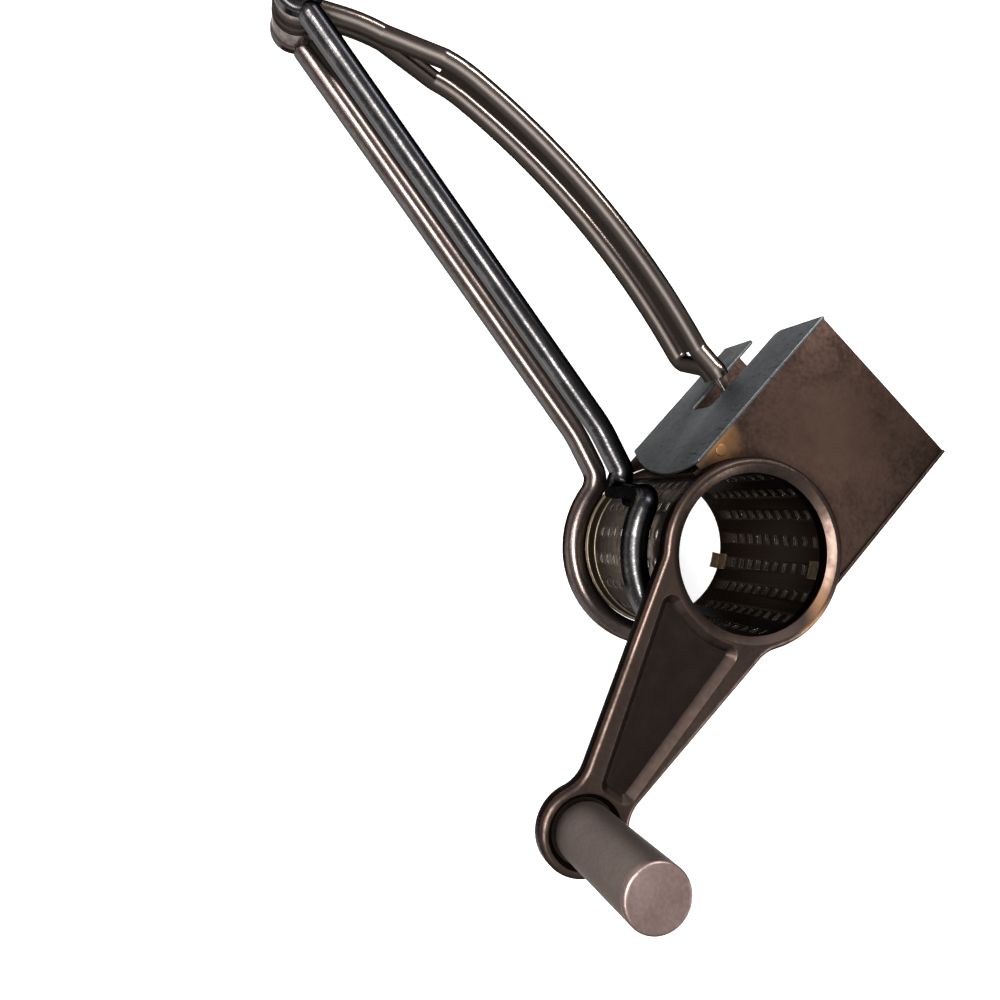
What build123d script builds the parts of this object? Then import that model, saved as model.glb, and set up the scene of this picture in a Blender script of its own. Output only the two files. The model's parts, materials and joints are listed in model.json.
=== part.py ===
from build123d import *
import math
import os

# Hand-cranked rotary shredder: a perforated drum turned by a crank, a hopper over
# the drum, and two pairs of pressed steel arms that are squeezed together so that
# a curved presser pushes the food on to the drum.
#
# All sizes are in millimetres.  While the pieces are made, the drum's axis is the
# Z axis, z = 0 is the face that the tool lies on, +X points from the arm pivot to
# the drum and +Y points up the hopper.  The whole tool is then shifted so that its
# origin is the middle of its footprint on that face.

# ------------------------------------------------------------------ sheet and strip
strip_sheet = 0.8          # sheet that the arms are pressed from
strip_width = 6.4          # outer width of a pressed arm channel
strip_height = 5.0         # depth of a lower arm channel
strip_crest = 3.0          # rounding of the channel's back
upper_width = 5.2          # outer width of an upper arm channel
upper_height = 3.8         # depth of an upper arm channel
upper_crest = 2.4          # rounding of its back
working_gap = 0.1          # clearance left between pieces that turn on one another
running_fit = 0.05         # radial clearance of a shaft in its hole
cut_past = 0.5             # how far a cutting shape runs past the face it opens

# ------------------------------------------------------------------ drum
drum_radius = 22.0         # outside of the perforated shell
drum_sheet = 0.7
drum_rear = 0.6            # rear edge of the shell above the rest face
tooth_rows = 18
teeth_per_row = 10
tooth_pitch = 4.8          # along the drum
tooth_first = 10.6         # first hole's distance from the rest face
tooth_length = 2.0         # along the drum
tooth_width = 2.6          # around the drum
band_sheet = 0.6           # plain bands that stiffen the shell's two ends
rear_band_depth = 6.6
rear_rim_reach = 1.4       # turned-out rim beyond the shell
rear_rim_sheet = 1.1
front_band_depth = 5.6
seam_angle = 40.0          # where the shell's lock seam lies
seam_clip_width = 4.6
seam_clip_depth = 5.0
seam_clip_sheet = 0.5
seam_tab_reach = 2.6       # tab turned inwards at the rear end

# ------------------------------------------------------------------ frame rings and lower arms
ring_gap = 0.3             # strip to the drum's rear rim
rear_ring_end = 150.0      # angle at which the rear strip ends, behind the hopper
front_hook_end = 322.0     # angle at which the front strip ends, behind the crank
front_ring_z = 46.5        # open edge of the front hook
front_arm_z = 21.3         # open edge of the front lower arm
arm_tilt = 0.25            # degrees that the lower arms fall away from the pivot
pivot_distance = 181.5     # pivot rivet to drum axis
lead_start = 46.0          # where the arms begin to bend, before the drum axis
lead_radius = 40.0
lead_angle = 9.0
rear_knee_inner = 3.8      # radius inside the rear strip's knee
front_knee_inner = 0.4
riser_run = 9.8            # stretch in which the front strip rises beside the drum
riser_inner = 2.4          # radius inside the riser's bends
eye_radius = 6.5           # round eye round the pivot rivet
eye_height = 4.0
eye_crest = 1.5
eye_lift = 1.0             # the eyes sit a little above the arms' centre line
upper_eye_overlap = 2.0    # how far the upper arm's channel runs into its eye

# ------------------------------------------------------------------ pivot
rivet_radius = 2.0
rivet_head_radius = 3.4
rivet_head_height = 1.4
spacer_radius = 6.2

# ------------------------------------------------------------------ upper arm and presser
upper_pinch_z = 11.0       # open edge of the rear half where the halves lie together
upper_rear_z = 5.0         # open edge of the rear half along the grip
upper_front_z = 19.2       # where the front half's open edge would be without its skirt
front_skirt = 2.8          # extra depth of the front half along the grip
upper_start_angle = 42.8   # direction in which the upper arm leaves the pivot
upper_start_run = 7.5
upper_root_radius = 50.0
upper_root_turn = 13.0
upper_crimp_run = 18.0     # straight stretch in which the halves part
upper_shoulder_radius = 42.0
upper_shoulder_turn = 12.5
upper_arch_turn = 22.8     # over a radius that brings the nose to the hopper
upper_jog_inner = 1.4      # radius inside the bends of a rise
nose_run = 9.0             # stretch in which the halves come together again
nose_front_z = 22.6        # open edge of the front half at the hopper wall
nose_straight = 1.23       # stretch in which they then lie together
nose_gap = 3.3             # end of the pressed arm halves to the hopper wall
stem_side_gap = 0.3        # stem to the sides of the channel that it lies in
stem_head_gap = 0.8        # stem to the channel's back
stem_run = 21.0            # arm end to the stem's turn towards the drum
stem_bend = 4.0
presser_gap = 1.0          # presser to drum
presser_sheet = 1.2
presser_near_gap = 1.1     # presser's near edge to the handle-side wall
presser_far_gap = 4.1      # presser's far edge to the far wall
presser_side_gap = 2.0     # presser to hopper plates
presser_lowest = 6.0       # lowest reach of the presser's edges up the hopper
saddle_length = 24.0       # plate between stem and presser, along the drum
saddle_width = 9.0
saddle_sheet = 1.2
presser_rivet_radius = 1.4
presser_rivet_head = 2.4
presser_rivet_height = 0.7
presser_rivet_offset = 8.5  # rivet to stem, along the drum

# ------------------------------------------------------------------ hopper
hopper_lean = 9.6          # degrees that the hopper leans towards the pivot
near_wall_gap = 2.4        # handle-side wall to the drum
far_wall_gap = 1.2         # far wall to the drum
hopper_top = 59.7          # drum axis to the mouth
hopper_sheet = 0.8
hopper_rear_edge = 2.7     # walls' rear edges above the rest face
hopper_lip = 0.6           # walls stand proud of the front plate by this much
front_plate_z = 55.0       # rear face of the front plate
plate_low = 7.0            # plates' lower edges up the hopper
plate_cut_gap = 1.6        # round cut-out to the drum
wall_low_rear = 15.4       # handle-side wall's lower edge at its rear corner
wall_low_front = 8.0       # and at its front corner
wall_lip = ((10.0, 16.0), (5.0, 35.0), (4.6, 48.0))  # its lip between, up the hopper and in height
far_wall_low = 6.0         # far wall's lower edge in front of the rear ring
ring_side_gap = 0.3        # far wall stops this far outside the rear ring
slot_low = 30.0            # foot of the arm slot, up the hopper
slot_rear_z = 20.5
slot_front_z = 33.6
slot_corner = 2.0
mouth_corner = 2.2
weld_radius = 1.5
weld_height = 0.3
rear_weld_angle = 146.0
front_weld_angle = 157.0

# ------------------------------------------------------------------ crank and knob
crank_sheet = 1.0
crank_front = 61.8         # front face of the crank
crank_skirt = 4.5          # depth of its turned-down edge
crank_ring_reach = 2.2     # ring beyond the drum's shell
crank_lip_sheet = 1.0      # the ring's lip inside the shell's bore
crank_lip_depth = 4.8      # how far the lip goes down into the shell
funnel_width = 2.0         # slope from the ring's crest to its bore, in plan
funnel_depth = 1.3
crank_edge_round = 1.4
crank_reach_x = 24.4       # knob's axis from the drum's axis
crank_reach_y = -74.8
boss_radius = 11.2
neck_half_width = 7.7
neck_distance = 68.0       # where the web meets the boss, from the drum's axis
web_taper_left = 12.8      # degrees
web_taper_right = 9.6
web_corner = 9.0
panel_ring_gap = 0.7       # crest between the funnel and the pressed-in panel
panel_border = 0.8         # border between the panel and the knob's seat
panel_tip_left = 2.9       # the panel's sides at its tip, from the crank's centre line
panel_tip_right = 6.0
panel_taper_left = 14.5    # degrees
panel_taper_right = 5.0
panel_depth = 2.0
panel_slope = 2.0          # sloping side of the panel, in plan
panel_corner = 2.8
dish_radius = 9.2          # pressed-in seat round the knob
dish_depth = 1.5
dish_slope = 1.2           # sloping side of the seat, in plan
knob_radius = 7.4
knob_end = 103.6
knob_pin_radius = 3.0
knob_pin_head_radius = 4.8
knob_pin_head_height = 1.6
knob_washer_radius = 6.6
knob_washer_sheet = 0.8
knob_pin_swage = 4.2       # radius of the pin's riveted end under the crank
knob_socket_radius = 5.6
knob_socket_depth = 8.0    # hollow end of the sleeve, round the pin's head
knob_cap_height = 1.6
knob_edge_round = 0.7

# ------------------------------------------------------------------ places that follow
drum_bore_radius = drum_radius - drum_sheet
band_radius = drum_radius + band_sheet
rear_rim_radius = drum_radius + rear_rim_reach
ring_radius = rear_rim_radius + ring_gap + strip_width / 2
ring_outer_radius = ring_radius + strip_width / 2
hopper_near = band_radius + near_wall_gap + hopper_sheet
hopper_far = band_radius + far_wall_gap + hopper_sheet
plate_cut_radius = band_radius + plate_cut_gap
rear_plate_z = strip_height
hopper_front_edge = front_plate_z + hopper_sheet + hopper_lip
hopper_angle = 90.0 + hopper_lean
crank_length = math.hypot(crank_reach_x, crank_reach_y)
crank_angle = math.degrees(math.atan2(crank_reach_y, crank_reach_x))
crank_lip_low = crank_front - crank_lip_depth
drum_front = crank_front - funnel_depth - crank_sheet
crank_ring_radius = drum_radius + crank_ring_reach
crank_bore_radius = drum_bore_radius - crank_lip_sheet
funnel_radius = crank_bore_radius + funnel_width
panel_ring_radius = funnel_radius + panel_ring_gap
dish_z = crank_front - dish_depth
knob_base_z = dish_z + knob_washer_sheet + working_gap
pinch_front_z = upper_pinch_z + upper_height
stem_width = upper_width - 2 * (strip_sheet + stem_side_gap)
stem_height = upper_height - strip_sheet - stem_head_gap
nose_reach = pivot_distance - hopper_near - nose_gap
presser_swing_near = pivot_distance - hopper_near + hopper_sheet + presser_near_gap
presser_swing_far = pivot_distance + hopper_far - hopper_sheet - presser_far_gap
presser_inner_radius = drum_radius + presser_gap
presser_outer_radius = presser_inner_radius + presser_sheet
saddle_radius = presser_outer_radius + saddle_sheet
knob_cap_z = knob_end - knob_cap_height
knob_head_z = knob_cap_z - knob_socket_depth + working_gap
pivot = (-pivot_distance, eye_lift)


def unit(angle):
    """Unit vector in the rest plane, at an angle in degrees from +X."""
    return Vector(math.cos(math.radians(angle)), math.sin(math.radians(angle)), 0)


def in_hopper(up, across, z=0.0):
    """A point given up the hopper's axis and across it, away from the handle."""
    return unit(hopper_angle) * up + unit(hopper_lean) * across + Vector(0, 0, z)


def disc(radius, low, high, at=(0.0, 0.0)):
    """Upright cylinder between two heights."""
    return Pos(at[0], at[1], low) * extrude(Circle(radius), high - low)


def tube(outer, inner, low, high, at=(0.0, 0.0)):
    """Upright cylinder with a hole right through it."""
    return disc(outer, low, high, at) - disc(inner, low - cut_past, high + cut_past, at)


def sector(outer, inner, angle, width, low, high):
    """Piece of an upright tube, of a given width, centred on an angle."""
    strip = Rot(0, 0, angle) * Pos(outer, 0) * Rectangle(2 * outer, width)
    return Pos(0, 0, low) * extrude((Circle(outer) - Circle(inner)) & strip, high - low)


# ------------------------------------------------------------------ pressed channels
def d_shape(width, height, crest, below=0.0):
    """Channel outline with a rounded back: x across, y up, feet at y = 0."""
    rounded = RectangleRounded(width, 2 * (height + below), min(crest, 0.48 * width))
    keep = Pos(0, (height + below) / 2) * Rectangle(width, height + below)
    return Pos(0, -below) * (rounded & keep)


class Run:
    """Carries a section along straights, level bends and climbs, as one solid."""

    def __init__(self, section, start, heading):
        self.section = section
        self.point = Vector(*start)
        self.heading = heading
        self.pitch = 0.0
        self.pieces = []

    def forward(self, pitch=None):
        tilt = math.radians(self.pitch if pitch is None else pitch)
        return unit(self.heading) * math.cos(tilt) + Vector(0, 0, math.sin(tilt))

    def left(self, heading=None):
        return unit((self.heading if heading is None else heading) + 90)

    def up(self, pitch=None):
        tilt = self.pitch if pitch is None else pitch
        return self.forward(tilt + 90)

    def placed(self, section):
        return Plane(origin=self.point, x_dir=self.left(), z_dir=self.forward()) * section

    def straight(self, length):
        self.pieces.append(extrude(self.placed(self.section), length))
        self.point = self.point + self.forward() * length

    def bend(self, radius, angle):
        """Level bend; a positive angle turns left."""
        side = math.copysign(1.0, angle)
        centre = self.point + self.left() * (side * radius)
        axis = Axis(centre, Vector(0, 0, side))
        self.pieces.append(revolve(self.placed(self.section), axis, abs(angle)))
        self.heading += angle
        self.point = centre - self.left() * (side * radius)

    def climb(self, radius, angle):
        """Bend up or down; a positive angle lifts the run."""
        side = math.copysign(1.0, angle)
        centre = self.point + self.up() * (side * radius)
        axis = Axis(centre, self.left() * (-side))
        self.pieces.append(revolve(self.placed(self.section), axis, abs(angle)))
        self.pitch += angle
        self.point = centre - self.up() * (side * radius)

    def round_end(self):
        """Closes the run with a half-round end."""
        size = self.section.bounding_box().size
        half = self.section & (Pos(size.X / 2, 0) * Rectangle(size.X, 4 * size.Y))
        self.pieces.append(revolve(self.placed(half), Axis(self.point, -self.up()), 180))

    def jog(self, rise, run, inner, height):
        """S-bend to a new height within a plan length, on a channel of a height."""
        side = math.copysign(1.0, rise)
        backs = min(inner + height, (rise**2 + run**2) / (2 * abs(rise)) - inner)
        radii = inner + backs
        reach = math.hypot(radii - abs(rise), run)
        tilt = math.atan2(run, radii - abs(rise)) - math.acos(radii / reach)
        slope = math.degrees(tilt)
        first, second = (backs, inner) if rise > 0 else (inner, backs)
        self.climb(first, side * slope)
        self.straight((abs(rise) - radii * (1 - math.cos(tilt))) / math.sin(tilt))
        self.climb(second, -side * slope)

    def solid(self):
        return self.pieces[0].fuse(*self.pieces[1:])


def hollow(width, height, crest, draw):
    """Draws one path twice, as the channel's outside and as its inside."""
    outer = draw(d_shape(width, height, crest), 0.0)
    inner = draw(
        d_shape(width - 2 * strip_sheet, height - strip_sheet, crest - strip_sheet, cut_past),
        strip_sheet,
    )
    return outer - inner


def eye(low, height, inset=0.0):
    """Round eye of an arm, drawn in by the sheet for its inside."""
    floor = low - (cut_past if inset else 0.0)
    body = disc(eye_radius - inset, floor, low + height - inset, pivot)
    rim = body.edges().group_by(Axis.Z)[-1]
    return fillet(rim, eye_crest - 0.5 * inset)


def knee_place(lead_point, heading, radius, straight_after):
    """Where a right-hand knee must lie so that the strip then meets the ring.

    Returns the straight run before the knee, the knee's turn and the angle at
    which the strip joins the ring's circle."""
    ahead = unit(heading)
    right = unit(heading - 90)
    side = lead_point.dot(right) + radius
    span = math.hypot(ring_radius + radius, straight_after)
    centre = right * side - ahead * math.sqrt(span**2 - side**2)
    run = (centre - lead_point).dot(ahead)
    centre_angle = math.degrees(math.atan2(centre.Y, centre.X)) % 360
    join = centre_angle + math.degrees(math.atan2(straight_after, ring_radius + radius))
    return run, heading - (join + 90 - 360), join


# ------------------------------------------------------------------ lower arms
def lower_arm(low, rise, knee_inner, end_angle):
    """Lower arm half: eye, straight grip, knee, rise and ring."""
    knee_radius = knee_inner + strip_width / 2

    def draw(section, inset):
        start = -pivot_distance + eye_radius
        run = Run(section, (start, 0, low), -arm_tilt)
        run.straight(pivot_distance - eye_radius - lead_start)
        run.bend(lead_radius, -lead_angle)
        flat = riser_run if rise else 0.0
        before, turn, join = knee_place(run.point, run.heading, knee_radius, flat)
        run.straight(before)
        run.bend(knee_radius, -turn)
        if rise:
            run.jog(rise, riser_run, riser_inner, strip_height)
        run.bend(ring_radius, end_angle - join)
        run.round_end()
        back = Run(section, (start, 0, low), 180 - arm_tilt)
        back.round_end()
        return run.solid() + back.pieces + eye(low, eye_height, inset)

    arm = hollow(strip_width, strip_height, strip_crest, draw)
    return arm - disc(rivet_radius, low - cut_past, low + strip_height + cut_past, pivot)


def lower_arm_rear():
    """Rear half, with the channel's end cut back round the pivot spacer."""
    seat = disc(spacer_radius + working_gap, eye_height, strip_height + cut_past, pivot)
    return lower_arm(0.0, 0.0, rear_knee_inner, rear_ring_end + 360) - seat


def lower_arm_front():
    """Front half; its ring is a hook that springs away to free the drum."""
    return lower_arm(front_arm_z, front_ring_z - front_arm_z, front_knee_inner, front_hook_end)


# ------------------------------------------------------------------ upper arm
nose_starts = {}


def reach_ahead(point, heading, reach):
    """How far to go on, for a point to be a given distance from the pivot."""
    ahead = unit(heading)
    gap = Vector(point.X - pivot[0], point.Y - pivot[1], 0)
    along = gap.dot(ahead)
    return math.sqrt(reach**2 - gap.dot(gap) + along**2) - along


def upper_arm(pinch_low, grip_low, nose_low, skirt=0.0):
    """Upper arm half: eye, pinched start, arched grip and pinched nose."""

    def draw(section, inset):
        start = Vector(*pivot) + unit(upper_start_angle) * (eye_radius - upper_eye_overlap)
        run = Run(section, (start.X, start.Y, pinch_low), upper_start_angle)
        run.straight(upper_start_run)
        run.bend(upper_root_radius, -upper_root_turn)
        run.jog(grip_low - pinch_low, upper_crimp_run, upper_jog_inner, upper_height)
        grip = Run(section, run.point, run.heading)
        run.bend(upper_shoulder_radius, -upper_shoulder_turn)
        half_turn = upper_arch_turn / 2
        nose = unit(run.heading - upper_arch_turn) * (nose_run + nose_straight)
        chord = reach_ahead(run.point + nose, run.heading - half_turn, nose_reach)
        arch_radius = chord / (2 * math.sin(math.radians(half_turn)))
        run.bend(arch_radius, -upper_arch_turn)
        run.jog(nose_low - grip_low, nose_run, upper_jog_inner, upper_height)
        nose_starts[nose_low] = (run.point, run.heading)
        run.straight(nose_straight + inset)
        if skirt:
            width = upper_width - 2 * inset
            wall = Pos(0, upper_height / 2 - skirt - 2 * inset) * Rectangle(width, upper_height)
            grip.section = wall
            grip.bend(upper_shoulder_radius, -upper_shoulder_turn)
            grip.bend(arch_radius, -upper_arch_turn)
            run.pieces += grip.pieces
        return run.solid() + eye(pinch_low, upper_height, inset)

    arm = hollow(upper_width, upper_height, upper_crest, draw)
    hole = rivet_radius + running_fit
    return arm - disc(hole, pinch_low - cut_past, pinch_low + upper_height + cut_past, pivot)


def upper_arm_rear():
    return upper_arm(upper_pinch_z, upper_rear_z, nose_front_z - upper_height)


def upper_arm_front():
    return upper_arm(pinch_front_z, upper_front_z, nose_front_z, front_skirt)


# ------------------------------------------------------------------ pivot
def pivot_rivet():
    """Rivet through all the eyes; its rear head lies inside the rear eye's cup."""
    rear_head = eye_height - strip_sheet - rivet_head_height
    front_head = front_arm_z + eye_height
    shank = disc(rivet_radius, rear_head, front_head, pivot)
    head = disc(rivet_head_radius, front_head, front_head + rivet_head_height, pivot)
    dome = fillet(head.edges().group_by(Axis.Z)[-1], rivet_head_height / 2)
    return shank + dome + disc(rivet_head_radius, rear_head, rear_head + rivet_head_height, pivot)


def pivot_spacer_rear():
    high = upper_pinch_z - working_gap
    return tube(spacer_radius, rivet_radius, eye_height, high, pivot)


def pivot_spacer_front():
    low = pinch_front_z + upper_height + working_gap
    return tube(spacer_radius, rivet_radius, low, front_arm_z, pivot)


# ------------------------------------------------------------------ presser
def stem_path():
    """Carries the stem from inside the arm's nose, through the slot, to the drum."""
    point, heading = nose_starts[nose_front_z]
    section = Pos(0, stem_height / 2) * Rectangle(stem_width, stem_height)
    run = Run(section, (point.X, point.Y, nose_front_z), heading)
    run.straight(nose_straight + stem_run)
    run.bend(stem_bend, hopper_angle - 180 - heading)
    run.straight(run.point.dot(unit(hopper_angle)))
    return run


def presser_stem():
    low, high = nose_front_z - cut_past, nose_front_z + stem_height + cut_past
    return stem_path().solid() - disc(saddle_radius, low, high)


def saddle_angle():
    """Where the stem comes down on the saddle, as an angle round the drum."""
    across = stem_path().point.dot(unit(hopper_lean))
    return hopper_angle - math.degrees(math.asin(across / saddle_radius))


def presser_bolts(radius, inner, outer):
    """Pins through the saddle and the presser, pointing at the drum's axis."""
    ahead = unit(saddle_angle())
    stem_middle = nose_front_z + stem_height / 2
    bolts = []
    for offset in (-presser_rivet_offset, presser_rivet_offset):
        foot = ahead * inner + Vector(0, 0, stem_middle + offset)
        bolts.append(extrude(Plane(origin=foot, z_dir=ahead) * Circle(radius), outer - inner))
    return bolts


def presser_plate():
    """Curved plate over the drum, cut to swing between the hopper's walls."""
    sheet = Circle(presser_outer_radius) - Circle(presser_inner_radius)
    swing = Pos(*pivot) * (Circle(presser_swing_far) - Circle(presser_swing_near))
    reach = 2 * presser_outer_radius
    above = Rot(0, 0, hopper_lean) * Pos(0, presser_lowest + reach / 2) * Rectangle(reach, reach)
    low = rear_plate_z + hopper_sheet + presser_side_gap
    high = front_plate_z - presser_side_gap
    plate = Pos(0, 0, low) * extrude(sheet & swing & above, high - low)
    return plate - presser_bolts(presser_rivet_radius, drum_radius, saddle_radius)


def presser_saddle():
    """Short plate that joins the stem to the presser."""
    middle = nose_front_z + stem_height / 2
    low, high = middle - saddle_length / 2, middle + saddle_length / 2
    plate = sector(saddle_radius, presser_outer_radius, saddle_angle(), saddle_width, low, high)
    return plate - presser_bolts(presser_rivet_radius, drum_radius, saddle_radius + cut_past)


def presser_rivets():
    top = saddle_radius + presser_rivet_height
    shanks = presser_bolts(presser_rivet_radius, drum_radius, top)
    heads = presser_bolts(presser_rivet_head, presser_outer_radius, top)
    core = disc(presser_inner_radius, 0, front_plate_z)
    saddle = disc(saddle_radius, 0, front_plate_z)
    return [shank - core + (head - saddle) for shank, head in zip(shanks, heads)]


# ------------------------------------------------------------------ hopper
def hopper_plate(low):
    """Flat plate between the two walls, cut out round the drum."""
    width = hopper_near + hopper_far - 2 * hopper_sheet
    height = hopper_top - plate_low
    middle = Pos((hopper_far - hopper_near) / 2, plate_low + height / 2)
    outline = Rot(0, 0, hopper_lean) * middle * Rectangle(width, height)
    return Pos(0, 0, low) * extrude(outline - Circle(plate_cut_radius), hopper_sheet)


def hopper_rear_plate():
    return hopper_plate(rear_plate_z)


def hopper_front_plate():
    return hopper_plate(front_plate_z)


def hopper_side(outline, across):
    """Stands a wall up: x of its outline is up the hopper, y is height."""
    base = in_hopper(0, across)
    place = Plane(origin=base, x_dir=unit(hopper_angle), z_dir=unit(hopper_lean))
    return extrude(place * outline, hopper_sheet)


def hopper_handle_wall():
    """Wall beside the handles, slotted for the stem and lipped over the drum."""
    rear_low = (wall_low_rear, hopper_rear_edge)
    front_low = (wall_low_front, hopper_front_edge)
    front_top = (hopper_top, hopper_front_edge)
    rear_top = (hopper_top, hopper_rear_edge)
    lip = Spline(rear_low, *wall_lip, front_low)
    outline = make_face(lip + Polyline(front_low, front_top, rear_top, rear_low))
    slot_depth = hopper_top - slot_low
    slot_width = slot_front_z - slot_rear_z
    slot = Rectangle(2 * slot_depth, slot_width)
    outline -= Pos(hopper_top, slot_rear_z + slot_width / 2) * slot
    foot = outline.vertices().filter_by(lambda v: abs(v.X - slot_low) < cut_past)
    outline = fillet(foot, slot_corner)
    edge = outline.vertices().filter_by(lambda v: abs(v.X - hopper_top) < cut_past)
    outline = fillet(edge.sort_by(Axis.Y)[1:3], mouth_corner)
    return hopper_side(outline, -hopper_near)


def hopper_far_wall():
    """Wall away from the handles, cut back outside the rear ring."""
    inside = hopper_far - hopper_sheet
    above_ring = math.sqrt(ring_outer_radius**2 - inside**2) + ring_side_gap
    outline = make_face(
        Polyline(
            (above_ring, hopper_rear_edge),
            (above_ring, strip_height + ring_side_gap),
            (far_wall_low, strip_height + ring_side_gap),
            (far_wall_low, hopper_front_edge),
            (hopper_top, hopper_front_edge),
            (hopper_top, hopper_rear_edge),
            close=True,
        )
    )
    return hopper_side(outline, inside)


def plate_spot_welds():
    """Weld marks, one on each plate, above the strips' centre line."""
    marks = []
    for face, angle in ((rear_plate_z, rear_weld_angle), (front_plate_z, front_weld_angle)):
        low = face + hopper_sheet
        place = unit(angle) * ring_radius
        marks.append(disc(weld_radius, low, low + weld_height, (place.X, place.Y)))
    return marks


# ------------------------------------------------------------------ drum
def drum_shell():
    """Rolled sheet with rows of teeth holes."""
    shell = tube(drum_radius, drum_bore_radius, drum_rear, drum_front)
    cutters = []
    for row in range(tooth_rows):
        for tooth in range(teeth_per_row):
            height = tooth_first + tooth * tooth_pitch
            hole = Pos(drum_radius, 0, height) * Box(4 * drum_sheet, tooth_width, tooth_length)
            cutters.append(Rot(0, 0, row * 360 / tooth_rows) * hole)
    return shell - cutters


def drum_rear_ring():
    """Plain band with a turned-out rim, on the shell's rear end."""
    band = tube(band_radius, drum_radius, drum_rear, drum_rear + rear_band_depth)
    return band + tube(rear_rim_radius, drum_radius, drum_rear, drum_rear + rear_rim_sheet)


def drum_front_collar():
    return tube(band_radius, drum_radius, drum_front - front_band_depth, drum_front)


def drum_seam_clips():
    """Folded clips that hold the shell's seam together near its two ends."""
    inner = drum_bore_radius - seam_clip_sheet
    front_high = crank_lip_low - working_gap
    clips = []
    for low, high in (
        (drum_rear, drum_rear + seam_clip_depth),
        (front_high - seam_clip_depth, front_high),
    ):
        clips.append(sector(drum_bore_radius, inner, seam_angle, seam_clip_width, low, high))
    reach = drum_bore_radius - seam_tab_reach
    tab_high = drum_rear + seam_clip_sheet
    clips[0] += sector(
        drum_bore_radius, reach, seam_angle, seam_clip_width, drum_rear, tab_high
    )
    return clips


# ------------------------------------------------------------------ crank and knob
boss = (crank_reach_x, crank_reach_y)


def crank_outline():
    """Ring, boss and the tapered web between them, with rounded inner corners."""
    root_left = neck_half_width + neck_distance * math.tan(math.radians(web_taper_left))
    root_right = neck_half_width + neck_distance * math.tan(math.radians(web_taper_right))
    web = Polyline(
        (0, -root_left),
        (neck_distance, -neck_half_width),
        (crank_length, -neck_half_width),
        (crank_length, neck_half_width),
        (neck_distance, neck_half_width),
        (0, root_right),
        close=True,
    )
    shape = make_face(web) + Circle(crank_ring_radius)
    shape += Pos(crank_length, 0) * Circle(boss_radius)
    return offset(offset(shape, web_corner), -web_corner)


def crank_panel():
    """Outline of the three-sided panel that stiffens the web."""
    far = crank_length - dish_radius - panel_border
    root_left = panel_tip_left + far * math.tan(math.radians(panel_taper_left))
    root_right = panel_tip_right + far * math.tan(math.radians(panel_taper_right))
    sides = Polyline(
        (0, -root_left),
        (far, -panel_tip_left),
        (far, panel_tip_right),
        (0, root_right),
        close=True,
    )
    panel = make_face(sides) - Circle(panel_ring_radius)
    return fillet(panel.vertices(), panel_corner)


def pressing(outline, slope, depth, low=0.0, grow=0.0):
    """A pressed-in hollow with sloping sides, lowered and grown for its underside."""
    top = crank_front - low
    mouth = Pos(0, 0, top) * offset(outline, grow)
    floor = Pos(0, 0, top - depth) * offset(outline, grow - slope)
    return loft([mouth, floor])


def crank():
    """Pressed sheet crank: funnelled ring, web with a panel, and the knob's seat."""
    outline = crank_outline()
    skirt_low = crank_front - crank_skirt
    body = Pos(0, 0, skirt_low) * extrude(outline, crank_skirt)
    body = fillet(body.edges().group_by(Axis.Z)[-1], crank_edge_round)
    inside = Pos(0, 0, skirt_low - cut_past) * extrude(
        offset(outline, -crank_sheet), crank_skirt + cut_past - crank_sheet
    )
    body -= inside
    seat = Pos(crank_length, 0) * Circle(dish_radius)
    pressings = ((crank_panel(), panel_slope, panel_depth), (seat, dish_slope, dish_depth))
    for hollow_shape, slope, depth in pressings:
        body += pressing(hollow_shape, slope, depth, crank_sheet, crank_sheet)
        body -= pressing(hollow_shape, slope, depth)
    body = Rot(0, 0, crank_angle) * body
    body += disc(crank_ring_radius - crank_sheet, drum_front, crank_front - crank_sheet)
    body += disc(drum_bore_radius, crank_lip_low, crank_front - crank_sheet)
    body -= disc(crank_bore_radius, skirt_low - cut_past, crank_front + cut_past)
    mouth = Pos(0, 0, crank_front) * Circle(funnel_radius)
    throat = Pos(0, 0, crank_front - funnel_depth) * Circle(crank_bore_radius)
    body -= loft([mouth, throat])
    return body - disc(knob_pin_radius, skirt_low, crank_front, boss)


def knob_pin():
    """Pin riveted into the crank, with a head inside the sleeve's hollow end."""
    low = dish_z - 2 * crank_sheet
    shank = disc(knob_pin_radius, low, knob_head_z, boss)
    swage = disc(knob_pin_swage, low, low + crank_sheet, boss)
    head = disc(knob_pin_head_radius, knob_head_z, knob_head_z + knob_pin_head_height, boss)
    return shank + swage + head


def knob_washer():
    return tube(knob_washer_radius, knob_pin_radius, dish_z, dish_z + knob_washer_sheet, boss)


def knob_sleeve():
    """Turning handgrip, bored for the pin."""
    body = disc(knob_radius, knob_base_z, knob_cap_z, boss)
    body = fillet(body.edges().group_by(Axis.Z)[0], knob_edge_round)
    socket_low = knob_cap_z - knob_socket_depth
    body -= disc(knob_pin_radius + running_fit, knob_base_z - cut_past, knob_cap_z, boss)
    return body - disc(knob_socket_radius, socket_low, knob_cap_z + cut_past, boss)


def knob_end_cap():
    """Cap that closes the sleeve, with a rounded edge."""
    cap = disc(knob_radius, knob_cap_z, knob_end, boss)
    return fillet(cap.edges().group_by(Axis.Z)[-1], knob_edge_round)


# ------------------------------------------------------------------ all the pieces
makers = (
    lower_arm_rear,
    lower_arm_front,
    pivot_rivet,
    pivot_spacer_rear,
    pivot_spacer_front,
    upper_arm_rear,
    upper_arm_front,
    presser_stem,
    presser_saddle,
    presser_plate,
    presser_rivets,
    hopper_rear_plate,
    hopper_front_plate,
    hopper_handle_wall,
    hopper_far_wall,
    plate_spot_welds,
    drum_shell,
    drum_rear_ring,
    drum_front_collar,
    drum_seam_clips,
    crank,
    knob_pin,
    knob_washer,
    knob_sleeve,
    knob_end_cap,
)


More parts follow.
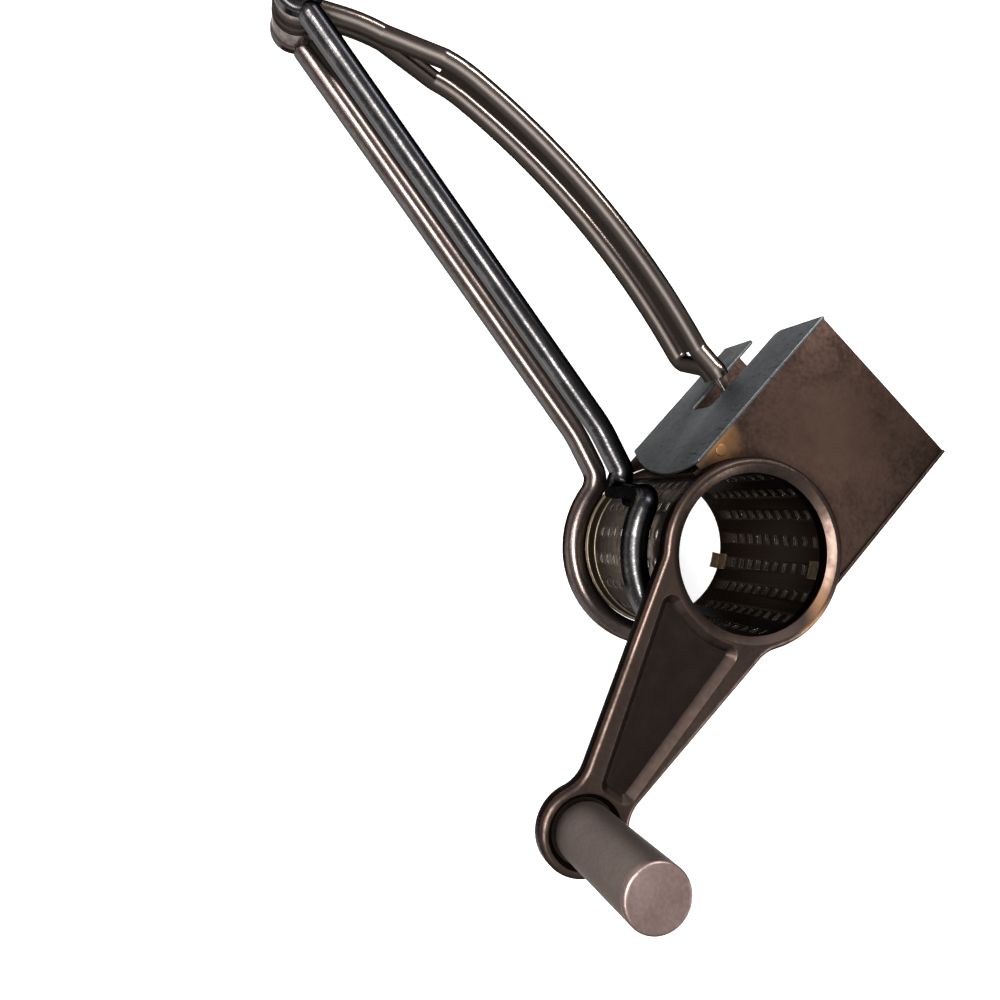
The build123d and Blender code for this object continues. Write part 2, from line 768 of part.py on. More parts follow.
def solids_of(made):
    """All the solids in what a maker gives, whether one shape or a list."""
    shapes = made if isinstance(made, list) else [made]
    return [solid for shape in shapes for solid in shape.solids()]


pieces = {maker.__name__: Compound(solids_of(maker())) for maker in makers}
whole = Compound(list(pieces.values())).bounding_box()
shift = Vector(-whole.center().X, -whole.center().Y, 0)

os.makedirs("parts", exist_ok=True)
for name, piece in pieces.items():
    placed = piece.moved(Location(shift))
    export_step(placed, f"parts/{name}.step")
    box = placed.bounding_box()
    print(f"{name}: {len(placed.solids())} solid, {placed.volume:.0f} mm3, {box.min} to {box.max}")

print(f"whole tool: {whole.size}")
print(f"shift: {shift}")
print(f"pivot: {Vector(*pivot) + shift}")
print(f"drum axis: {shift}")
print(f"knob axis: {Vector(*boss) + shift}")
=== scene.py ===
# %% [markdown]
# # A hand-cranked drum shredder in old, tarnished steel
# The imported model is the frame: its nodes have the right size and place.  This script finishes
# them.  It softens the pressed edges, adds the small raised teeth of the drum, and gives each piece
# the worn finish of the real tool.

# %% Load the frame
import bpy
import json
from math import cos, pi, radians, sin
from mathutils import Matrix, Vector


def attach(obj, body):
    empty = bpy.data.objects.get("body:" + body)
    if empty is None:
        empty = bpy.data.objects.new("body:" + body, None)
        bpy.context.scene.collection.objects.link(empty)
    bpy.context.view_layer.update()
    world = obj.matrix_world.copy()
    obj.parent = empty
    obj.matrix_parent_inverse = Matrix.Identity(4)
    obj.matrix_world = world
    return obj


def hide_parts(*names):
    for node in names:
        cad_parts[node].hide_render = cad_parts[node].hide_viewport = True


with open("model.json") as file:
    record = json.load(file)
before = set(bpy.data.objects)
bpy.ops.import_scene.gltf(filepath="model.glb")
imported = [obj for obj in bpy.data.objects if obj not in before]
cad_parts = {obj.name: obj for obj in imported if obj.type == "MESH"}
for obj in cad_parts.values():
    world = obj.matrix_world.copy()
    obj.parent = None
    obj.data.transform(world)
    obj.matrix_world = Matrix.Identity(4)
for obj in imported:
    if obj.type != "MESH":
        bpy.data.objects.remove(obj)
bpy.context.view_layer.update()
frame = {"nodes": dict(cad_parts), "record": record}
nodes = frame["nodes"]

# %% [markdown]
# ## Working on one piece at a time
# Blender's operators act on whatever is selected.  The frame arrives selected, so every step first
# deselects everything and then picks its own piece.

# %% Select one piece
MM = 0.001


def pick(piece):
    """Makes this the only selected object, and the active one."""
    bpy.ops.object.select_all(action="DESELECT")
    piece.select_set(True)
    bpy.context.view_layer.objects.active = piece


def apply_modifier(piece, modifier):
    pick(piece)
    bpy.ops.object.modifier_apply(modifier=modifier.name)


# %% [markdown]
# ## Softened sheet metal
# Pressed steel has no knife edges: each fold and rim is slightly round, and that is what catches
# the light.  The solids have sharp ones.  A copy of a node is merged into one surface, its flat
# parts are dissolved into single faces, and a bevel rounds what is left of the sharp edges.

# %% Soften a node
MERGE_DISTANCE = 0.002 * MM
SHEET_SMOOTH_ANGLE = radians(35)


def softened(node, width, segments=3, angle=32.0, flat=1.5):
    """A copy of a node with its edges rounded, which then stands for the node."""
    piece = bpy.data.objects.new(f"{node}_soft", nodes[node].data.copy())
    bpy.context.scene.collection.objects.link(piece)
    pick(piece)
    bpy.ops.object.mode_set(mode="EDIT")
    bpy.ops.mesh.select_all(action="SELECT")
    bpy.ops.mesh.remove_doubles(threshold=MERGE_DISTANCE)
    bpy.ops.mesh.dissolve_limited(angle_limit=radians(flat))
    bpy.ops.object.mode_set(mode="OBJECT")
    bevel = piece.modifiers.new("rounded edges", "BEVEL")
    bevel.width = width * MM
    bevel.segments = segments
    bevel.limit_method = "ANGLE"
    bevel.angle_limit = radians(angle)
    bevel.miter_outer = "MITER_ARC"
    apply_modifier(piece, bevel)
    bpy.ops.object.shade_smooth_by_angle(angle=SHEET_SMOOTH_ANGLE)
    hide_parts(node)
    print(piece.name, len(piece.data.polygons), "faces")
    return piece


body_of = {}
for body, members in frame["record"]["behaviour"]["bodies"].items():
    for member in members:
        body_of[member] = body
slot_of = {row["node"]: row["material_slot"] for row in frame["record"]["subparts"]}

# %% Soften the sheet pieces
edge_width = {
    "crank": 0.5,
    "drum_shell": 0.16,
    "hopper_front_plate": 0.14,
    "hopper_rear_plate": 0.14,
    "hopper_handle_wall": 0.14,
    "hopper_far_wall": 0.14,
    "drum_rear_ring": 0.16,
    "presser_plate": 0.2,
    "presser_stem": 0.3,
    "pivot_spacer_front": 0.4,
    "pivot_spacer_rear": 0.4,
    "knob_end_cap": 0.1,
    "plate_spot_welds": 0.12,
}
dressed = {name: nodes[name] for name in nodes}
for node, width in edge_width.items():
    dressed[node] = softened(node, width)
    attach(dressed[node], body_of[node])

# %% [markdown]
# ## Drum teeth
# Each hole of the drum is a punched tooth: the metal in front of the slit is pushed outwards into
# a small hood.  One hood is shaped from a grid, bent up to a lip, and copied to every hole.

# %% One tooth
drum_x, drum_y = 76.2, 11.517
drum_outside = 22.0
tooth_rows, teeth_per_row = 18, 10
tooth_pitch, tooth_first = 4.8, 10.6
tooth_width, tooth_length = 2.6, 2.0
hood_rise = 0.55
hood_sheet = 0.25
hood_root = 0.1          # how deep a hood's edge is sunk in the drum
hood_margin = 0.5        # how much wider and longer a hood is than its hole
hood_smooth_angle = radians(50)

bpy.ops.object.select_all(action="DESELECT")
bpy.ops.mesh.primitive_grid_add(x_subdivisions=4, y_subdivisions=6, size=1.0)
tooth = bpy.context.object
tooth.name = "drum_tooth_pattern"
for point in tooth.data.vertices:
    along = point.co.x + 0.5
    around = point.co.y * 2
    lift = sin(along * pi / 2) * cos(around * pi / 2)
    point.co.x, point.co.y, point.co.z = (
        (drum_outside - hood_root + (hood_rise + hood_root) * lift) * MM,
        point.co.y * (tooth_width + hood_margin) * MM,
        (along * (tooth_length + hood_margin) - tooth_length / 2 - hood_margin) * MM,
    )
thicken = tooth.modifiers.new("sheet", "SOLIDIFY")
thicken.thickness = hood_sheet * MM
thicken.offset = 1.0
apply_modifier(tooth, thicken)

copies = []
for row in range(tooth_rows):
    for place in range(teeth_per_row):
        copy = tooth.copy()
        copy.data = tooth.data.copy()
        bpy.context.scene.collection.objects.link(copy)
        copy.rotation_euler = (0, 0, 2 * pi * row / tooth_rows)
        height = (tooth_first + place * tooth_pitch) * MM
        copy.location = (drum_x * MM, drum_y * MM, height)
        copies.append(copy)
bpy.data.objects.remove(tooth)
bpy.ops.object.select_all(action="DESELECT")
for copy in copies:
    copy.select_set(True)
bpy.context.view_layer.objects.active = copies[0]
bpy.ops.object.join()
drum_teeth = bpy.context.object
drum_teeth.name = "drum_teeth"
bpy.ops.object.transform_apply(location=True, rotation=True, scale=True)
bpy.ops.object.mode_set(mode="EDIT")
bpy.ops.mesh.select_all(action="SELECT")
bpy.ops.mesh.normals_make_consistent(inside=False)
bpy.ops.object.mode_set(mode="OBJECT")
bpy.ops.object.shade_smooth_by_angle(angle=hood_smooth_angle)
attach(drum_teeth, "drum")
dressed["drum_teeth"] = drum_teeth
print("teeth", len(drum_teeth.data.polygons), "faces")

# %% [markdown]
# ## Shared effects
# Old steel is never one colour.  Five node groups are built once and shared by the finishes: patches
# of tarnish, metal worn bright along its edges, fine drawn scratches, a mask of which way a surface
# faces, and a mask of how near it is to a place.  The last two also place painted shade, a painted
# reflection and painted light.

# %% Node helpers
def add_node(tree, kind, **settings):
    made = tree.nodes.new(kind)
    for key, value in settings.items():
        setattr(made, key, value)
    return made


def new_group(name, inputs, outputs):
    """An empty shader group with named sockets."""
    group = bpy.data.node_groups.new(name, "ShaderNodeTree")
    for label, kind, value in inputs:
        socket = group.interface.new_socket(label, in_out="INPUT", socket_type=kind)
        socket.default_value = value
    for label, kind in outputs:
        group.interface.new_socket(label, in_out="OUTPUT", socket_type=kind)
    return group, group.nodes.new("NodeGroupInput"), group.nodes.new("NodeGroupOutput")


def soft_threshold(tree, value, into):
    """A smooth step from 0 to 1 round a level, as wide on each side as the softness."""
    level, softness = into
    lower = add_node(tree, "ShaderNodeMath", operation="SUBTRACT")
    upper = add_node(tree, "ShaderNodeMath", operation="ADD")
    spread = add_node(tree, "ShaderNodeMapRange", interpolation_type="SMOOTHSTEP")
    for end, socket in ((lower, "From Min"), (upper, "From Max")):
        tree.links.new(level, end.inputs[0])
        tree.links.new(softness, end.inputs[1])
        tree.links.new(end.outputs[0], spread.inputs[socket])
    tree.links.new(value, spread.inputs["Value"])
    return spread


FLOAT, VECTOR = "NodeSocketFloat", "NodeSocketVector"

# %% Patches of tarnish
tarnish, into, out = new_group(
    "tarnish_patches",
    [
        ("Patch Scale", FLOAT, 40.0),
        ("Fine Scale", FLOAT, 400.0),
        ("Level", FLOAT, 0.5),
        ("Softness", FLOAT, 0.1),
    ],
    [("Mask", FLOAT), ("Fine", FLOAT)],
)
place = add_node(tarnish, "ShaderNodeTexCoord")
broad = add_node(tarnish, "ShaderNodeTexNoise")
fine = add_node(tarnish, "ShaderNodeTexNoise")
broad.inputs["Detail"].default_value = 6.0
broad.inputs["Roughness"].default_value = 0.62
broad.inputs["Distortion"].default_value = 0.4
fine.inputs["Detail"].default_value = 3.0
fine_share = 0.35
blend = add_node(tarnish, "ShaderNodeMath", operation="MULTIPLY_ADD")
blend.inputs[1].default_value = fine_share
shrink = add_node(tarnish, "ShaderNodeMath", operation="MULTIPLY")
shrink.inputs[1].default_value = 1 - fine_share
link = tarnish.links.new
link(place.outputs["Object"], broad.inputs["Vector"])
link(place.outputs["Object"], fine.inputs["Vector"])
link(into.outputs["Patch Scale"], broad.inputs["Scale"])
link(into.outputs["Fine Scale"], fine.inputs["Scale"])
link(broad.outputs["Fac"], shrink.inputs[0])
link(fine.outputs["Fac"], blend.inputs[0])
link(shrink.outputs[0], blend.inputs[2])
spread = soft_threshold(tarnish, blend.outputs[0], (into.outputs["Level"], into.outputs["Softness"]))
link(spread.outputs["Result"], out.inputs["Mask"])
link(fine.outputs["Fac"], out.inputs["Fine"])

# %% Edges worn bright
edges, into, out = new_group(
    "edge_wear",
    [("Radius", FLOAT, 0.0005), ("Reach", FLOAT, 0.2), ("Break Scale", FLOAT, 300.0)],
    [("Mask", FLOAT)],
)
rounded = add_node(edges, "ShaderNodeBevel", samples=6)
shape = add_node(edges, "ShaderNodeNewGeometry")
compare = add_node(edges, "ShaderNodeVectorMath", operation="DOT_PRODUCT")
away = add_node(edges, "ShaderNodeMath", operation="SUBTRACT")
away.inputs[0].default_value = 1.0
scale = add_node(edges, "ShaderNodeMath", operation="DIVIDE", use_clamp=True)
place = add_node(edges, "ShaderNodeTexCoord")
broken = add_node(edges, "ShaderNodeTexNoise")
broken.inputs["Detail"].default_value = 4.0
gaps = add_node(edges, "ShaderNodeMapRange")
gaps.inputs["From Min"].default_value = 0.35
gaps.inputs["From Max"].default_value = 0.6
keep = add_node(edges, "ShaderNodeMath", operation="MULTIPLY", use_clamp=True)
link = edges.links.new
link(into.outputs["Radius"], rounded.inputs["Radius"])
link(rounded.outputs["Normal"], compare.inputs[0])
link(shape.outputs["Normal"], compare.inputs[1])
link(compare.outputs["Value"], away.inputs[1])
link(away.outputs[0], scale.inputs[0])
link(into.outputs["Reach"], scale.inputs[1])
link(place.outputs["Object"], broken.inputs["Vector"])
link(into.outputs["Break Scale"], broken.inputs["Scale"])
link(broken.outputs["Fac"], gaps.inputs["Value"])
link(scale.outputs[0], keep.inputs[0])
link(gaps.outputs["Result"], keep.inputs[1])
link(keep.outputs[0], out.inputs["Mask"])

# %% Drawn scratches
scratches, into, out = new_group(
    "drawn_scratches",
    [("Turn", VECTOR, (0, 0, 0)), ("Stretch", VECTOR, (1, 1, 1)), ("Scale", FLOAT, 500.0)],
    [("Mask", FLOAT)],
)
place = add_node(scratches, "ShaderNodeTexCoord")
turned = add_node(scratches, "ShaderNodeMapping")
stretched = add_node(scratches, "ShaderNodeVectorMath", operation="MULTIPLY")
lines = add_node(scratches, "ShaderNodeTexNoise")
lines.inputs["Detail"].default_value = 4.0
lines.inputs["Roughness"].default_value = 0.7
link = scratches.links.new
link(place.outputs["Object"], turned.inputs["Vector"])
link(into.outputs["Turn"], turned.inputs["Rotation"])
link(turned.outputs["Vector"], stretched.inputs[0])
link(into.outputs["Stretch"], stretched.inputs[1])
link(stretched.outputs["Vector"], lines.inputs["Vector"])
link(into.outputs["Scale"], lines.inputs["Scale"])
link(lines.outputs["Fac"], out.inputs["Mask"])

# %% Which way a surface faces
facing, into, out = new_group(
    "facing",
    [("Direction", VECTOR, (0, 0, 1)), ("From", FLOAT, 0.3), ("To", FLOAT, 0.9)],
    [("Mask", FLOAT)],
)
shape = add_node(facing, "ShaderNodeNewGeometry")
compare = add_node(facing, "ShaderNodeVectorMath", operation="DOT_PRODUCT")
spread = add_node(facing, "ShaderNodeMapRange", interpolation_type="SMOOTHSTEP")
link = facing.links.new
link(shape.outputs["Normal"], compare.inputs[0])
link(into.outputs["Direction"], compare.inputs[1])
link(compare.outputs["Value"], spread.inputs["Value"])
link(into.outputs["From"], spread.inputs["From Min"])
link(into.outputs["To"], spread.inputs["From Max"])
link(spread.outputs["Result"], out.inputs["Mask"])

# %% How near a place is
nearness, into, out = new_group(
    "nearness",
    [
        ("Centre", VECTOR, (0, 0, 0)),
        ("Squash", VECTOR, (1, 1, 1)),
        ("Radius", FLOAT, 0.01),
        ("Softness", FLOAT, 0.001),
        ("Ragged", FLOAT, 0.0),
    ],
    [("Mask", FLOAT)],
)
place = add_node(nearness, "ShaderNodeTexCoord")
offset = add_node(nearness, "ShaderNodeVectorMath", operation="SUBTRACT")
squashed = add_node(nearness, "ShaderNodeVectorMath", operation="MULTIPLY")
distance = add_node(nearness, "ShaderNodeVectorMath", operation="LENGTH")
ragged = add_node(nearness, "ShaderNodeTexNoise")
ragged.inputs["Scale"].default_value = 260.0
ragged.inputs["Detail"].default_value = 5.0
roughened = add_node(nearness, "ShaderNodeMath", operation="MULTIPLY_ADD")
link = nearness.links.new
link(place.outputs["Object"], offset.inputs[0])
link(into.outputs["Centre"], offset.inputs[1])
link(offset.outputs["Vector"], squashed.inputs[0])
link(into.outputs["Squash"], squashed.inputs[1])
link(squashed.outputs["Vector"], distance.inputs[0])
link(place.outputs["Object"], ragged.inputs["Vector"])
link(ragged.outputs["Fac"], roughened.inputs[0])
link(into.outputs["Ragged"], roughened.inputs[1])
link(distance.outputs["Value"], roughened.inputs[2])
spread = soft_threshold(
    nearness, roughened.outputs[0], (into.outputs["Radius"], into.outputs["Softness"])
)
spread.inputs["To Min"].default_value = 1.0
spread.inputs["To Max"].default_value = 0.0
link(spread.outputs["Result"], out.inputs["Mask"])

# %% [markdown]
# ## The finishes
# Each finish starts from the same build: a metal whose colour goes from a clean tone to a tarnished
# one in patches.  Layers then go on top of it, each where its mask says: painted shade on some sides
# and in recesses, a painted reflection on grey outward walls, painted light on the crank's ring,
# places tinted by heat, drawn scratches, and edges rubbed bright.

# %% Build a metal finish
def use_group(material, group, **values):
    made = add_node(material.node_tree, "ShaderNodeGroup", node_tree=group)
    for label, value in values.items():
        made.inputs[label.replace("_", " ")].default_value = value
    return made


def mix(material, factor, first, second):
    """Mixes two colours or two numbers, each a value or a socket, by a mask socket."""
    is_colour = isinstance(second, tuple)
    made = add_node(material.node_tree, "ShaderNodeMix", data_type="RGBA" if is_colour else "FLOAT")
    inputs = made.inputs[6:8] if is_colour else made.inputs[2:4]
    material.node_tree.links.new(factor, made.inputs[0])
    for socket, value in zip(inputs, (first, second)):
        if isinstance(value, tuple):
            socket.default_value = (*value, 1.0)
        elif isinstance(value, float):
            socket.default_value = value
        else:
            material.node_tree.links.new(value, socket)
    return made.outputs[2 if is_colour else 0]


def toward(direction, start, end):
    """Mask of what faces a direction."""
    return lambda material: use_group(
        material, facing, Direction=direction, From=start, To=end
    ).outputs["Mask"]


def near(centre, radius, softness=1.0, ragged=0.0, squash=(1, 1, 1)):
    """Mask of what is near a point, or near an axis or a level with some squash to zero."""
    return lambda material: use_group(
        material,
        nearness,
        Centre=tuple(part * MM for part in centre),
        Squash=squash,
        Radius=radius * MM,
        Softness=softness * MM,
        Ragged=ragged * MM,
    ).outputs["Mask"]


def rubbed(radius, reach, breaks):
    """Mask of edges worn bright, broken by noise."""
    return lambda material: use_group(
        material, edges, Radius=radius * MM, Reach=reach, Break_Scale=breaks
    ).outputs["Mask"]


def drawn(turn, stretch, scale, start, end):
    """Mask of fine scratches that all run one way."""

    def build(material):
        lines = use_group(material, scratches, Turn=turn, Stretch=stretch, Scale=scale)
        cut = add_node(material.node_tree, "ShaderNodeMapRange")
        cut.inputs["From Min"].default_value = start
        cut.inputs["From Max"].default_value = end
        material.node_tree.links.new(lines.outputs["Mask"], cut.inputs["Value"])
        return cut.outputs["Result"]

    return build


def metal(name, clean, aged, rough, patches, bump, layers=(), rim=0.4):
    """A tarnished metal.  rough is (clean, aged), patches is (scale, fine scale, level,
    softness), bump is a depth in mm, each layer is (mask, colour, roughness), and rim is how
    much of a clean metal's glare is left where it is seen edge-on."""
    material = bpy.data.materials.new(name)
    material.use_nodes = True
    tree = material.node_tree
    shader = tree.nodes["Principled BSDF"]
    shader.inputs["Metallic"].default_value = 1.0
    shader.inputs["Specular Tint"].default_value = (rim, rim, rim, 1.0)
    scale, fine, level, soft = patches
    spots = use_group(
        material, tarnish, Patch_Scale=scale, Fine_Scale=fine, Level=level, Softness=soft
    )
    colour = mix(material, spots.outputs["Mask"], clean, aged)
    gloss = mix(material, spots.outputs["Mask"], rough[0], rough[1])
    for mask, layer_colour, layer_rough in layers:
        where = mask(material)
        colour = mix(material, where, colour, layer_colour)
        gloss = mix(material, where, gloss, layer_rough)
    relief = add_node(tree, "ShaderNodeBump")
    relief.inputs["Strength"].default_value = 1.0
    relief.inputs["Distance"].default_value = bump * MM
    tree.links.new(spots.outputs["Fine"], relief.inputs["Height"])
    tree.links.new(relief.outputs["Normal"], shader.inputs["Normal"])
    tree.links.new(colour, shader.inputs["Base Color"])
    tree.links.new(gloss, shader.inputs["Roughness"])
    return material


# %% [markdown]
# The handles are dark brown, the front one of the lower pair nearly black.  Their sides toward the
# hopper are painted darker as painted shade, and the upper pair's sides away from it are painted
# darker too.  The lower pair's outward walls are painted grey as a painted reflection.

# %% Handles
HOPPER_SIDE, OPEN_SIDE = (0.0, 1.0, 0.0), (0.0, -1.0, 0.0)
# Painted reflection: the outward walls, facing away from the hopper, are painted grey.
painted_reflection_wall = (toward(OPEN_SIDE, 0.9, 0.985), (0.085, 0.082, 0.082), 0.46)
lower_arm_metal = metal(
    "lower_arm_metal",
    clean=(0.07, 0.054, 0.049),
    aged=(0.036, 0.028, 0.025),
    rough=(0.22, 0.28),
    patches=(60.0, 1100.0, 0.5, 0.14),
    bump=0.012,
    layers=[
        # Painted shade: the side toward the hopper is painted darker.
        (toward(HOPPER_SIDE, 0.02, 0.45), (0.026, 0.021, 0.019), 0.32),
        painted_reflection_wall,
    ],
    rim=0.3,
)
front_arm_metal = metal(
    "front_arm_metal",
    clean=(0.05, 0.047, 0.047),
    aged=(0.018, 0.017, 0.017),
    rough=(0.18, 0.28),
    patches=(170.0, 1500.0, 0.46, 0.1),
    bump=0.02,
    layers=[
        # Painted shade: the side toward the hopper is painted near black.
        (toward(HOPPER_SIDE, -0.15, 0.15), (0.006, 0.006, 0.007), 0.24),
        painted_reflection_wall,
    ],
    rim=0.3,
)
upper_arm_metal = metal(
    "upper_arm_metal",
    clean=(0.055, 0.044, 0.039),
    aged=(0.032, 0.025, 0.022),
    rough=(0.17, 0.22),
    patches=(60.0, 1100.0, 0.5, 0.14),
    bump=0.012,
    layers=[
        # Painted shade: the side away from the hopper is painted darker, dimming a lamp's highlight
        # there.
        (toward(OPEN_SIDE, 0.0, 0.3), (0.03, 0.025, 0.022), 0.46),
        # Painted shade: the edges toward the hopper are painted near black.
        (toward(HOPPER_SIDE, 0.35, 0.6), (0.006, 0.006, 0.007), 0.22),
    ],
    rim=0.3,
)

# %% [markdown]
# The hopper's plates are brown, lighter in the middle and darker to the edges; its wall beside the
# handles is a cooler grey with fine slanted scratches.

# %% Hopper
PLATE_MIDDLE = (67.0, 50.0, 55.0)
WELD = (51.2, 22.4, 56.0)
plate_metal = metal(
    "hopper_plate_metal",
    clean=(0.034, 0.021, 0.0165),
    aged=(0.013, 0.0082, 0.0066),
    rough=(0.46, 0.54),
    patches=(70.0, 900.0, 0.5, 0.14),
    bump=0.012,
    layers=[
        (near(PLATE_MIDDLE, 20.0, 16.0, 20.0), (0.046, 0.028, 0.021), 0.46),
        (near(WELD, 8.0, 5.5, 9.0), (0.12, 0.064, 0.028), 0.42),
        (rubbed(0.25, 0.4, 240.0), (0.24, 0.2, 0.17), 0.36),
    ],
)
wall_metal = metal(
    "hopper_wall_metal",
    clean=(0.06, 0.063, 0.065),
    aged=(0.036, 0.038, 0.039),
    rough=(0.42, 0.5),
    patches=(45.0, 900.0, 0.5, 0.16),
    bump=0.012,
    layers=[
        (
            drawn((0.0, 0.0, radians(-9.6)), (1.0, 6.0, 1.0), 260.0, 0.6, 0.66),
            (0.012, 0.012, 0.013),
            0.5,
        ),
        (rubbed(0.25, 0.4, 240.0), (0.4, 0.39, 0.38), 0.34),
    ],
)

# %% [markdown]
# The crank is pressed from thicker sheet and rubbed to pale metal on its ridges.  Its recessed panel
# and one wall of the panel are painted near black as painted shade, and the ring's right side is
# painted brighter and tinted orange as painted light.

# %% Crank
DRUM_AXIS = (drum_x, drum_y, 0.0)
PANEL_FLOOR = 59.8
crank_metal = metal(
    "crank_metal",
    clean=(0.038, 0.026, 0.021),
    aged=(0.017, 0.0118, 0.0098),
    rough=(0.3, 0.4),
    patches=(40.0, 700.0, 0.5, 0.16),
    bump=0.014,
    layers=[
        # Painted light: the ring's right side is painted brighter and tinted orange.
        (near((97.0, 15.0, 60.0), 9.0, 6.0, 8.0), (0.12, 0.066, 0.036), 0.34),
        (rubbed(0.5, 0.35, 130.0), (0.15, 0.118, 0.104), 0.3),
        # Painted shade: the panel wall facing this way is painted near black.
        (toward((-0.62, 0.22, 0.75), 0.9, 0.97), (0.012, 0.0085, 0.0075), 0.5),
        # Painted shade: the recessed floor of the panel is painted near black.
        (
            near((0, 0, PANEL_FLOOR - 3.0), 3.7, 0.7, 0.6, (0, 0, 1)),
            (0.009, 0.0064, 0.0056),
            0.36,
        ),
    ],
)

# %% Drum
# Painted shade: the inside of the drum is painted darker than its outside.
painted_shade_inside_drum = near(DRUM_AXIS, 21.66, 0.02, 0.0, (1, 1, 0))
drum_metal = metal(
    "drum_metal",
    clean=(0.13, 0.115, 0.1),
    aged=(0.065, 0.055, 0.048),
    rough=(0.3, 0.4),
    patches=(60.0, 900.0, 0.5, 0.16),
    bump=0.012,
    layers=[
        (drawn((0, 0, 0), (1.0, 1.0, 7.0), 90.0, 0.5, 0.62), (0.05, 0.042, 0.036), 0.42),
        (painted_shade_inside_drum, (0.032, 0.026, 0.022), 0.34),
        (rubbed(0.16, 0.5, 500.0), (0.6, 0.55, 0.5), 0.22),
    ],
    rim=0.3,
)
band_metal = metal(
    "drum_band_metal",
    clean=(0.1, 0.08, 0.055),
    aged=(0.05, 0.038, 0.026),
    rough=(0.34, 0.44),
    patches=(80.0, 900.0, 0.5, 0.16),
    bump=0.012,
    layers=[(rubbed(0.25, 0.4, 300.0), (0.5, 0.44, 0.36), 0.26)],
)

# %% [markdown]
# The knob is a satin grey tube, its end cap a paler pinkish brown with stains.  Rivets and spacers
# are plain steel rubbed bright.

# %% Knob, cap and rivets
knob_metal = metal(
    "knob_metal",
    clean=(0.085, 0.069, 0.062),
    aged=(0.06, 0.048, 0.043),
    rough=(0.46, 0.54),
    patches=(35.0, 1400.0, 0.5, 0.2),
    bump=0.012,
    layers=[(rubbed(0.3, 0.5, 300.0), (0.3, 0.25, 0.23), 0.4)],
)
cap_metal = metal(
    "cap_metal",
    clean=(0.125, 0.09, 0.083),
    aged=(0.07, 0.048, 0.043),
    rough=(0.4, 0.48),
    patches=(90.0, 1100.0, 0.5, 0.2),
    bump=0.016,
    layers=[
        (near((101.5, -66.0, 103.6), 1.8, 2.2, 5.0), (0.05, 0.034, 0.03), 0.46),
        (near((104.0, -60.0, 103.6), 2.4, 2.4, 5.0), (0.07, 0.047, 0.041), 0.46),
        (rubbed(0.3, 0.5, 300.0), (0.36, 0.28, 0.26), 0.34),
    ],
)
rivet_metal = metal(
    "rivet_metal",
    clean=(0.2, 0.17, 0.16),
    aged=(0.08, 0.064, 0.058),
    rough=(0.26, 0.38),
    patches=(150.0, 900.0, 0.5, 0.16),
    bump=0.01,
    layers=[(rubbed(0.3, 0.5, 300.0), (0.5, 0.46, 0.43), 0.22)],
)

# %% Put the finishes on
finish_of_slot = {
    "arm_steel": lower_arm_metal,
    "hopper_steel": plate_metal,
    "drum_steel": drum_metal,
    "crank_steel": crank_metal,
    "rivet_steel": rivet_metal,
    "knob_metal": knob_metal,
    "cap_metal": cap_metal,
}
own_finish = {
    "hopper_handle_wall": wall_metal,
    "plate_spot_welds": plate_metal,
    "lower_arm_front": front_arm_metal,
    "upper_arm_rear": upper_arm_metal,
    "upper_arm_front": upper_arm_metal,
    "drum_rear_ring": band_metal,
    "drum_front_collar": band_metal,
    "drum_seam_clips": band_metal,
}
for name, piece in dressed.items():
    finish = own_finish.get(name) or finish_of_slot[slot_of.get(name, "drum_steel")]
    piece.data.materials.clear()
    piece.data.materials.append(finish)
print("finished", len(dressed), "pieces")

# %% [markdown]
# ## Floor, light and camera
# The tool lies on a pale floor under a white sky.  A long lamp over the handles puts the broad
# highlight on the lower pair, and another beyond the hopper does so on the upper pair.  Two weaker
# ones fill from the far side and from the knob's side.

# %% What is seen directly or in a reflection
def plainly_seen(tree):
    """A socket that is 1 for camera, glossy and transmission rays, and 0 for the rest."""
    sight = add_node(tree, "ShaderNodeLightPath")
    seen = add_node(tree, "ShaderNodeMath", operation="ADD")
    seen_too = add_node(tree, "ShaderNodeMath", operation="ADD", use_clamp=True)
    tree.links.new(sight.outputs["Is Camera Ray"], seen.inputs[0])
    tree.links.new(sight.outputs["Is Glossy Ray"], seen.inputs[1])
    tree.links.new(seen.outputs[0], seen_too.inputs[0])
    tree.links.new(sight.outputs["Is Transmission Ray"], seen_too.inputs[1])
    return seen_too.outputs[0]


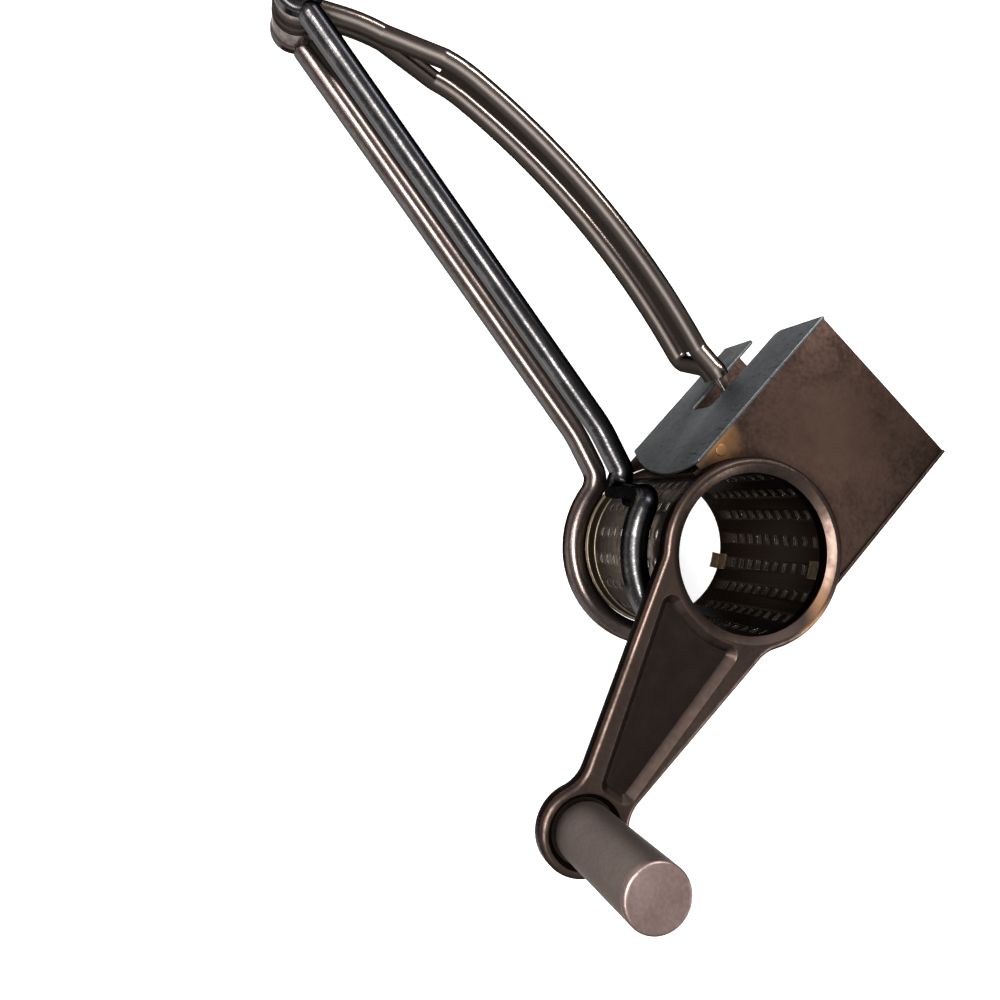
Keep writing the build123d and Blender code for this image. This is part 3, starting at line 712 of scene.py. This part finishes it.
# %% Floor
FLOOR_SIZE = 8.0
FLOOR_GLOW = 0.84
SKY_FILL = 0.55
bpy.ops.object.select_all(action="DESELECT")
bpy.ops.mesh.primitive_plane_add(size=FLOOR_SIZE, location=(0, 0, 0))
floor = bpy.context.object
floor.name = "floor"
floor_white = bpy.data.materials.new("floor_white")
floor_white.use_nodes = True
tree = floor_white.node_tree
shader = tree.nodes["Principled BSDF"]
shader.inputs["Base Color"].default_value = (0.3, 0.3, 0.3, 1)
shader.inputs["Roughness"].default_value = 0.9
shader.inputs["Specular IOR Level"].default_value = 0.0
shader.inputs["Emission Color"].default_value = (1, 1, 1, 1)
glow = add_node(tree, "ShaderNodeMath", operation="MULTIPLY")
glow.inputs[1].default_value = FLOOR_GLOW
tree.links.new(plainly_seen(tree), glow.inputs[0])
tree.links.new(glow.outputs[0], shader.inputs["Emission Strength"])
floor.data.materials.append(floor_white)

# %% Sky
world = bpy.data.worlds.new("white_room")
bpy.context.scene.world = world
world.use_nodes = True
tree = world.node_tree
sky = tree.nodes["Background"]
sky.inputs["Color"].default_value = (1, 1, 1, 1)
level = add_node(tree, "ShaderNodeMapRange")
level.inputs["To Min"].default_value = SKY_FILL
level.inputs["To Max"].default_value = 1.0
tree.links.new(plainly_seen(tree), level.inputs["Value"])
tree.links.new(level.outputs["Result"], sky.inputs["Strength"])


# %% Lamps
def soft_lamp(name, place, aim, size, power):
    """A rectangular lamp, in millimetres, that faces a point."""
    data = bpy.data.lights.new(name, "AREA")
    data.shape = "RECTANGLE"
    data.size, data.size_y = size[0] * MM, size[1] * MM
    data.energy = power
    lamp = bpy.data.objects.new(name, data)
    bpy.context.scene.collection.objects.link(lamp)
    lamp.location = Vector(place) * MM
    lamp.rotation_euler = (Vector(aim) - Vector(place)).to_track_quat("-Z", "Y").to_euler()
    print(name, power, "W")


soft_lamp("over_handles", (-75, -190, 435), (-20, 0, 20), (410, 150), 11.0)
soft_lamp("over_hopper", (-180, 370, 400), (-60, 40, 20), (300, 70), 7.0)
soft_lamp("far_side", (429, 127, 258), (60, -30, 60), (110, 260), 1.6)
soft_lamp("knob_side", (-330, -360, 420), (60, -20, 40), (260, 90), 1.6)

# %% Camera
view = bpy.data.cameras.new("camera")
view.lens = 36.1725
view.sensor_width = 36.0
view.clip_start = 0.01
camera = bpy.data.objects.new("camera", view)
bpy.context.scene.collection.objects.link(camera)
camera.location = (-7.489 * MM, -81.393 * MM, 285.029 * MM)
camera.rotation_euler = (radians(0.7054), radians(-14.8055), radians(52.7617))
bpy.context.scene.camera = camera
bpy.context.scene.view_settings.view_transform = "Standard"
